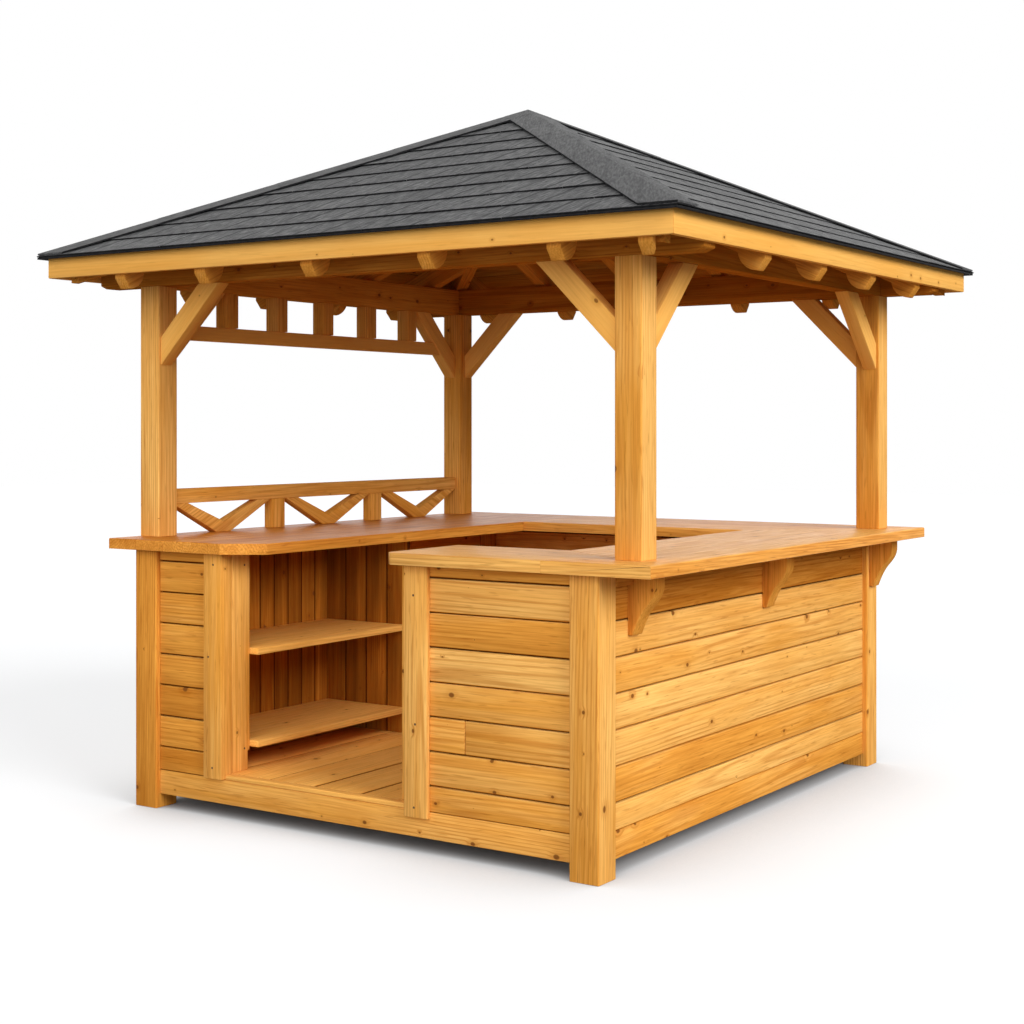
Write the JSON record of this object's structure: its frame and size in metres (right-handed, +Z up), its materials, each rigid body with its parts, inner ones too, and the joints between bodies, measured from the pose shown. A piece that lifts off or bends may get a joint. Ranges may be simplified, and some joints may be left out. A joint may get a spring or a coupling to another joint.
{
  "type": "garden bar gazebo",
  "caption": "Hip-roofed timber garden gazebo with a boarded bar base, a counter round it, a doorway, shelves and open sides under the roof.",
  "frame": {"origin": "centre of the object's footprint under the roof, on the ground", "axes": "+X along the front to the right, +Y from the doorway side to the back, +Z up"},
  "size_m": [2.8946, 2.762, 2.838],
  "materials": {
    "pine": "satin",
    "counter_wood": "satin",
    "shingles": "matte"
  },
  "bodies": {
    "root": {"back_beam": "pine", "back_covering": "shingles", "back_rafters": "pine", "back_roof_boards": "pine", "back_wall": "pine", "corner_posts": "pine", "counter_back": "counter_wood", "counter_brackets": "pine", "counter_front": "counter_wood", "counter_ledger": "pine", "counter_left": "counter_wood", "counter_right": "counter_wood", "floor": "pine", "floor_joists": "pine", "front_back_fascias": "pine", "front_beam": "pine", "front_covering": "shingles", "front_left_wall": "pine", "front_rafters": "pine", "front_right_wall": "pine", "front_roof_boards": "pine", "header_balusters": "pine", "hip_caps": "shingles", "hip_rafters": "pine", "king_block": "pine", "knee_braces": "pine", "left_beam": "pine", "left_covering": "shingles", "left_header": "pine", "left_jamb": "pine", "left_rafters": "pine", "left_rail": "pine", "left_roof_boards": "pine", "left_wall": "pine", "rail_braces": "pine", "right_beam": "pine", "right_covering": "shingles", "right_lining": "pine", "right_rafters": "pine", "right_roof_boards": "pine", "right_trim": "pine", "right_wall": "pine", "roof_posts": "pine", "shelf_back": "pine", "shelf_end": "pine", "shelf_stile": "pine", "shelves": "pine", "side_fascias": "pine", "sills": "pine"}
  },
  "joints": []
}
